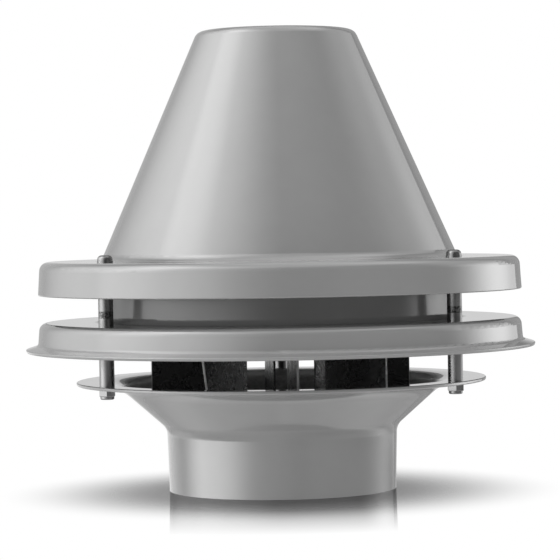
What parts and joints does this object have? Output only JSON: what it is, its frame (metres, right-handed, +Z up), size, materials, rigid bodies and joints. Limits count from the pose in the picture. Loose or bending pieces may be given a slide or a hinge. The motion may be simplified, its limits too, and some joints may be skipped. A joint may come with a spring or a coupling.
{
  "type": "exhaust fan",
  "caption": "Round roof exhaust fan: conical closed hood and drum plate stacked on spacer tubes over a flared duct inlet, with a motor-driven paddle impeller.",
  "frame": {"origin": "centre of the inlet spigot's lower rim, where the fan stands", "axes": "+Z up along the motor shaft, from the inlet to the closed top of the hood; one through bolt lies on +Y and the front of the picture looks along +Y"},
  "size_m": [0.4452, 0.4452, 0.4015],
  "materials": {
    "gelcoat": "high gloss grey gelcoat",
    "polished_steel": "polished stainless steel",
    "fastener_steel": "bright plated steel",
    "black_coat": "fine textured black paint",
    "cast_aluminium": "as cast",
    "barrel_metal": "extruded, plain",
    "ground_steel": "ground steel",
    "laminations": "stacked steel sheets, varnished",
    "copper": "enamelled copper wire",
    "rubber": "matt black rubber",
    "grey_plastic": "moulded, fine matt texture",
    "black_plastic": "moulded nylon",
    "cream_plastic": "moulded, matt",
    "capacitor_can": "drawn can, satin"
  },
  "bodies": {
    "housing": {"bearing_spring": "ground_steel", "box_screws": "fastener_steel", "cable_gland": "black_plastic", "capacitor_clip": "fastener_steel", "clip_screw": "fastener_steel", "gland_cap": "black_plastic", "gland_nut": "black_plastic", "head_washers": "fastener_steel", "inlet_funnel": "gelcoat", "junction_box": "grey_plastic", "junction_lid": "grey_plastic", "lid_screws": "fastener_steel", "lock_nuts": "fastener_steel", "lower_bearing_outer": "ground_steel", "lower_end_shield": "cast_aluminium", "lower_spacers": "polished_steel", "motor_barrel": "barrel_metal", "motor_plate": "gelcoat", "mount_bolts": "fastener_steel", "mount_nuts": "fastener_steel", "mount_washers": "fastener_steel", "rubber_mounts": "rubber", "run_capacitor": "capacitor_can", "shaft_seal": "rubber", "stator_core": "laminations", "stator_winding": "copper", "terminal_block": "cream_plastic", "through_bolts": "fastener_steel", "tie_screws": "fastener_steel", "upper_bearing_outer": "ground_steel", "upper_end_shield": "cast_aluminium", "upper_hood": "gelcoat", "upper_spacers": "polished_steel"},
    "rotor": {"motor_shaft": "ground_steel", "rotor_core": "laminations", "rotor_cage": "cast_aluminium", "lower_bearing_inner": "ground_steel", "upper_bearing_inner": "ground_steel", "impeller_hub": "cast_aluminium", "impeller_backplate": "black_coat", "impeller_blades": "black_coat", "hub_screws": "fastener_steel", "hub_set_screw": "fastener_steel", "shaft_washer": "fastener_steel", "shaft_nut": "fastener_steel"}
  },
  "joints": [
    {"name": "impeller_spin", "type": "hinge", "parent": "housing", "child": "rotor", "pos_m": [0, 0, 0.25], "axis": [0, 0, 1], "continuous": true}
  ]
}
